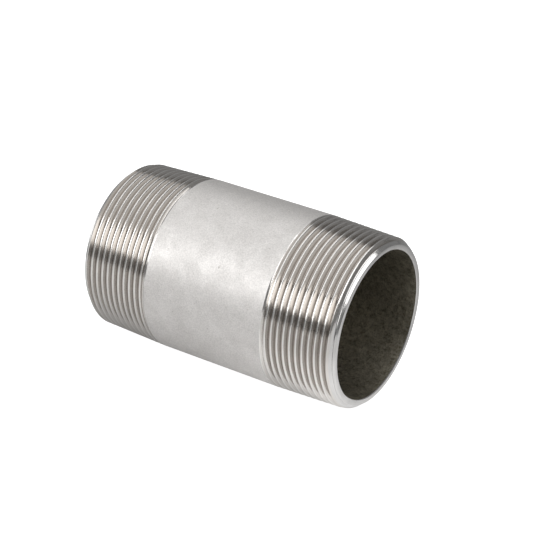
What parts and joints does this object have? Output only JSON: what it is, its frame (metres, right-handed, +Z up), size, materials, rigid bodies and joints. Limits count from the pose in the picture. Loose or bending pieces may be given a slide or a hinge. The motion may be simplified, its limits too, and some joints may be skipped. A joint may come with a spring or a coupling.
{
  "type": "threaded pipe nipple",
  "caption": "Straight stainless pipe nipple: a plain pipe with a taper pipe thread on each end and a through bore.",
  "frame": {"origin": "middle of the pipe's axis, halfway between the two end faces", "axes": "+X along the bore axis, +Z up as the pipe lies on its side"},
  "size_m": [0.1, 0.0603, 0.0602],
  "materials": {
    "stainless_steel": "pickled satin pipe between the threads, bright machined threads, chamfers and end faces, dull dark bore"
  },
  "bodies": {
    "root": {"nipple_body": "stainless_steel"}
  },
  "joints": []
}
